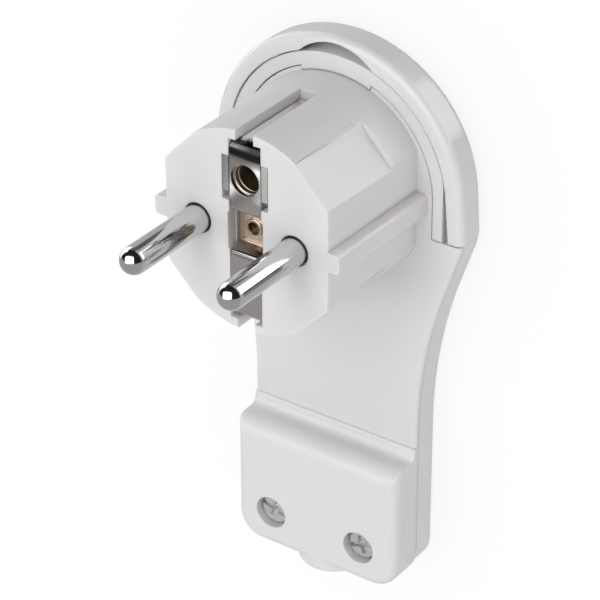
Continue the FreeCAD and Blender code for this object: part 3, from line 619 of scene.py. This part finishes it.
world = bpy.data.worlds.new("studio_tent")
sky = NodeTree(world, "ShaderNodeOutputWorld")
mirrored = sky.ray("Is Glossy Ray").or_larger(sky.ray("Is Transmission Ray"))
seen = sky.ray("Is Camera Ray").or_larger(mirrored)
strength = sky.node("ShaderNodeMapRange", None, {"Value": seen, "To Min": SKY_LEVEL, "To Max": 1.0})
sky.show(sky.node("ShaderNodeBackground", None, {"Color": WHITE, "Strength": strength}))
bpy.context.scene.world = world
print("sky: 1 to the camera and in mirrors,", SKY_LEVEL, "as light")


# %% [markdown]
# ## Lamps
# The shading of the drum tells where the light comes from. Its front faces are brightest, so
# the strongest lamp hangs over the plug, and is a touch warm. Four weaker and slightly cooler
# ones stand round it, and keep each side at the tone it has in the photograph. They are
# large squares, because a small lamp draws hard shadows. Mirrors don't show them: what
# the metals mirror is the next step, and it is easier to place by itself.

# %% Lamps
PLUG_MIDDLE = Vector((0, -0.02, 0.015))
WARM = (1.0, 0.995, 0.985)
COOL = (1.0, 0.985, 1.04)
LAMPS = [
    # name, place, width in metres, watts, tint
    ("top_lamp", (0.04, 0.08, 0.60), 0.50, 2.2, WARM),
    ("high_back_lamp", (-0.05, 0.42, 0.42), 0.35, 0.83, COOL),
    ("left_lamp", (-0.55, 0.02, 0.20), 0.35, 0.95, COOL),
    ("right_lamp", (0.55, -0.10, 0.20), 0.35, 0.93, COOL),
    ("low_lamp", (0.0, -0.55, 0.25), 0.35, 0.72, COOL),
]


def soft_lamp(name, place, width, watts, tint):
    """A square area lamp that looks at the middle of the plug."""
    data = bpy.data.lights.new(name, "AREA")
    data.shape = "SQUARE"
    data.size = width
    data.energy = watts
    data.color = tint
    lamp = bpy.data.objects.new(name, data)
    lamp.visible_glossy = False
    lamp.location = place
    aim = PLUG_MIDDLE - lamp.location
    lamp.rotation_euler = aim.to_track_quat("-Z", "Y").to_euler()
    bpy.context.scene.collection.objects.link(lamp)
    print(name, watts, "W,", round(aim.length, 2), "m away")


for row in LAMPS:
    soft_lamp(*row)


# %% [markdown]
# ## What the metals mirror
# Polished metal only looks like metal when there is something dark to mirror, and in white
# surroundings it looks like chalk. A picture of a room could go into the sky, but a few
# plain cards do the same and are easy to move. They lie on big spheres round the plug, and
# only mirrors see them, so they light nothing.
#
# Two things keep them harmless. A card isn't sampled as a lamp. And where light has already
# met a matt surface, the card shows only the sky's grey, because a mirror would otherwise
# throw bright sparkles on to the plastic.

# %% A card that only mirrors see
def card_face(name, brightness):
    """The face of a card, which also knows whether the light has met a matt surface before."""
    face = Finish(name)
    after_matt = face.ray("Diffuse Depth").clamped()
    face.show(face.either(after_matt, face.glow(WHITE, brightness), face.glow(WHITE, SKY_LEVEL)))
    face.material.cycles.emission_sampling = "NONE"
    return face


def card(name, shape, brightness):
    """Turns a mesh in the making into a sheet of light, or of darkness."""
    mesh = bpy.data.meshes.new(name)
    shape.to_mesh(mesh)
    shape.free()
    made = bpy.data.objects.new(name, mesh)
    bpy.context.scene.collection.objects.link(made)
    mesh.materials.append(card_face(name, brightness).material)
    made.visible_camera = False
    made.visible_diffuse = False
    made.visible_transmission = False
    made.visible_shadow = False
    made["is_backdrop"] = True
    print(name, "card, brightness", brightness)


def toward(turn, height, distance):
    """The point in this direction: turn counts from +X and height from level, in degrees."""
    turn, height = math.radians(turn), math.radians(height)
    across = distance * math.cos(height)
    return Vector((across * math.cos(turn), across * math.sin(turn), distance * math.sin(height)))


# %% [markdown]
# ## The cards
# In the photograph the pins' domes show a dark room on the ring's side and a grey wall on
# the cable's side. Below lies a pale table with one very bright stretch and dark on both
# sides of it, and to the left is a far window. The barrels show all of this as stripes. Each
# of them is a patch of a sphere, and a nearer patch hides what lies behind it. The soft box
# overhead shows on the domes as a bright shape with uneven corners, so it is one flat sheet
# with a corner in each direction.

# %% The cards
PATCH_STEPS = 24
PATCHES = [
    # name, turns and heights in degrees, distance in metres, brightness
    ("dark_room", (0, 180), (-9, 90), 1.4, 0.02),
    ("grey_wall", (180, 360), (-9, 90), 1.4, 0.45),
    ("pale_table", (0, 360), (-90, -9), 1.5, 0.56),
    ("table_glow", (14, 64), (-60, -22), 1.3, 3.4),
    ("glow_edge", (3, 14), (-60, -36), 1.3, 0.03),
    ("glow_fade", (-20, 3), (-60, -36), 1.3, 0.25),
    ("beyond_table", (88, 126), (-60, -9), 1.35, 0.14),
    ("far_window", (134, 190), (-33, 8), 1.3, 1.8),
]


def spread(ends, step):
    """The angle at this step of the way from one end to the other."""
    return ends[0] + (ends[1] - ends[0]) * step / PATCH_STEPS


for name, turns, heights, distance, brightness in PATCHES:
    patch = bmesh.new()
    rows = []
    for i in range(PATCH_STEPS + 1):
        height = spread(heights, i)
        points = [toward(spread(turns, j), height, distance) for j in range(PATCH_STEPS + 1)]
        rows.append([patch.verts.new(point) for point in points])
    for low, high in zip(rows, rows[1:]):
        for j in range(PATCH_STEPS):
            patch.faces.new((low[j], low[j + 1], high[j + 1], high[j]))
    card(name, patch, brightness)

# %% The soft box overhead
# the turn and the height of each corner, in degrees
BOX_CORNERS = [(140, 38), (67, 33), (5, 56), (194, 62)]
BOX_DISTANCE = 1.2
BOX_BRIGHTNESS = 3.0

soft_box = bmesh.new()
soft_box.faces.new([soft_box.verts.new(toward(*corner, BOX_DISTANCE)) for corner in BOX_CORNERS])
card("overhead_box", soft_box, BOX_BRIGHTNESS)

# %% [markdown]
# ## The sizes, and the end
# The looks must not change how large the plug is. The box of the CAD model was measured at
# the start, before anything was added, so the box of the finished one can be set beside it.

# %% The sizes, and the end
size_low, size_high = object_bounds()
before_and_after = zip([*cad_low, *cad_high], [*size_low, *size_high])
largest_change = max(abs(after - before) for before, after in before_and_after)
print("the looks moved the sides of the box by", round(largest_change / MM, 3), "mm at most")
